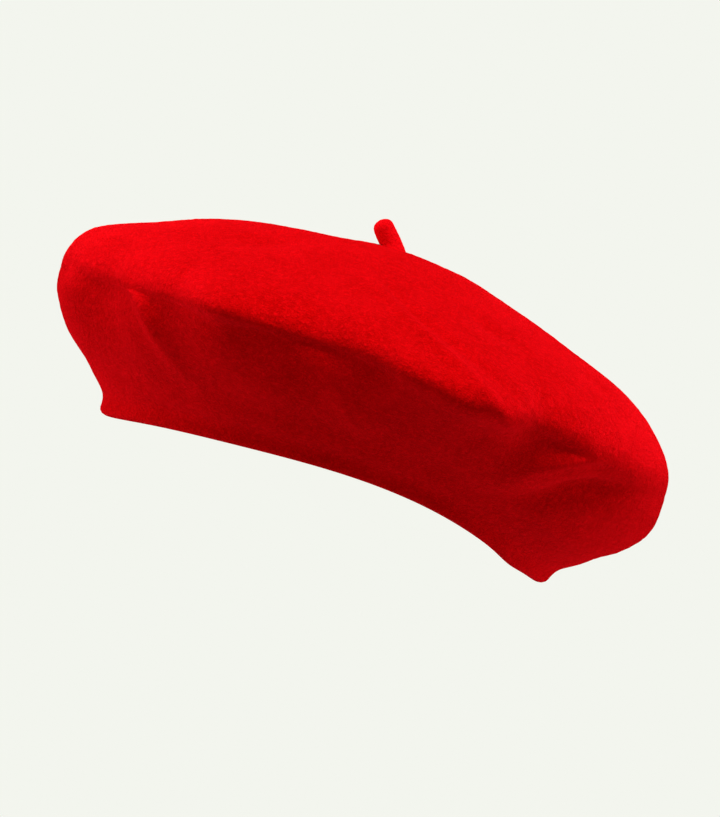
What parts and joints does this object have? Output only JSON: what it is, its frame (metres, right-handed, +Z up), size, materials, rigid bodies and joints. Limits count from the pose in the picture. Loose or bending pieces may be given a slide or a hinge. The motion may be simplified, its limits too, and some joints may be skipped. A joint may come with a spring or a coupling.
{
  "type": "felt beret",
  "caption": "Lined wool felt beret in its worn shape: round domed crown, rolled edge, short felt stalk, satin lining and leather sweatband.",
  "frame": {"origin": "middle of the head opening, level with the brow edge at forehead and nape", "axes": "+Z up through the crown, -Y towards the forehead, +Y towards the nape, +X towards the wearer's left"},
  "size_m": [0.258, 0.272, 0.1178],
  "materials": {
    "red_felt": "matt wool felt",
    "red_satin": "satin",
    "red_thread": "sewing thread",
    "black_thread": "sewing thread",
    "black_leather": "smooth grain",
    "label_cloth": "woven damask",
    "white_tape": "satin tape"
  },
  "bodies": {
    "hat": {"crown": "red_felt", "stalk_root": "red_felt", "stalk_root_tacks": "red_thread", "lining_tip": "red_satin", "lining_side": "red_satin", "lining_seam_thread": "red_thread", "lining_hem_thread": "red_thread", "sweatband": "black_leather", "sweatband_thread": "black_thread", "sweatband_join_thread": "black_thread", "woven_label": "label_cloth", "woven_label_thread": "black_thread", "care_label_tack": "black_thread"},
    "stalk": {"stalk": "red_felt"},
    "care_label": {"care_label": "white_tape"}
  },
  "joints": [
    {"name": "stalk_bend", "type": "hinge", "parent": "hat", "child": "stalk", "pos_m": [0, -0.0135, 0.11], "axis": [1, 0, 0], "range_deg": [-110, 25], "stiffness_Nm_per_rad": 0.004},
    {"name": "care_label_flap", "type": "hinge", "parent": "hat", "child": "care_label", "pos_m": [-0.08135, -0.00107, 0.04517], "axis": [0, -1, 0], "range_deg": [0, 120]}
  ]
}
